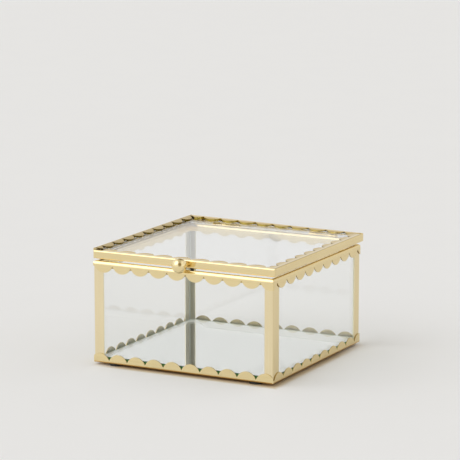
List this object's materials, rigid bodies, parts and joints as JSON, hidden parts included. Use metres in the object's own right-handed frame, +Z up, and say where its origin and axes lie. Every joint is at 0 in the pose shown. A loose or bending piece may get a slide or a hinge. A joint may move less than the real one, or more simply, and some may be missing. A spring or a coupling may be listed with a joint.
{
  "type": "jewelry box",
  "caption": "Square glass jewelry box in a satin brass frame with scalloped rails, a mirrored floor, a ball knob and a hinged glass lid.",
  "frame": {"origin": "centre of the whole box's footprint, knob and lid overhang included, on the surface it stands on", "axes": "+Z up, -Y towards the knob side, +X to the right as seen from the knob side, hinge line along X at the back"},
  "size_m": [0.1006, 0.11, 0.0592],
  "materials": {
    "brass": "satin brushed, pale gold",
    "glass": "clear, faintly green at the edges",
    "mirror": "silvered, green cut edge",
    "rubber": "matt black"
  },
  "bodies": {
    "box": {"base_mirror": "mirror", "glass_front": "glass", "glass_back": "glass", "glass_left": "glass", "glass_right": "glass", "corner_post_front_left": "brass", "corner_post_front_right": "brass", "corner_post_back_left": "brass", "corner_post_back_right": "brass", "base_rail_front": "brass", "base_rail_right": "brass", "base_rail_back": "brass", "base_rail_left": "brass", "top_rail_front": "brass", "top_rail_right": "brass", "top_rail_back": "brass", "top_rail_left": "brass", "foot_front_left": "rubber", "foot_front_right": "rubber", "foot_back_left": "rubber", "foot_back_right": "rubber", "hinge_body_leaf_left": "brass", "hinge_body_leaf_right": "brass", "hinge_pin_left": "brass", "hinge_pin_right": "brass"},
    "lid": {"lid_glass": "glass", "lid_rail_front": "brass", "lid_rail_right": "brass", "lid_rail_back": "brass", "lid_rail_left": "brass", "knob": "brass", "lid_bumper": "rubber", "hinge_lid_leaf_left": "brass", "hinge_lid_leaf_right": "brass"}
  },
  "joints": [
    {"name": "lid_hinge", "type": "hinge", "parent": "box", "child": "lid", "pos_m": [0, 0.05357, 0.0522], "axis": [-1, 0, 0], "range_deg": [0, 110]}
  ]
}
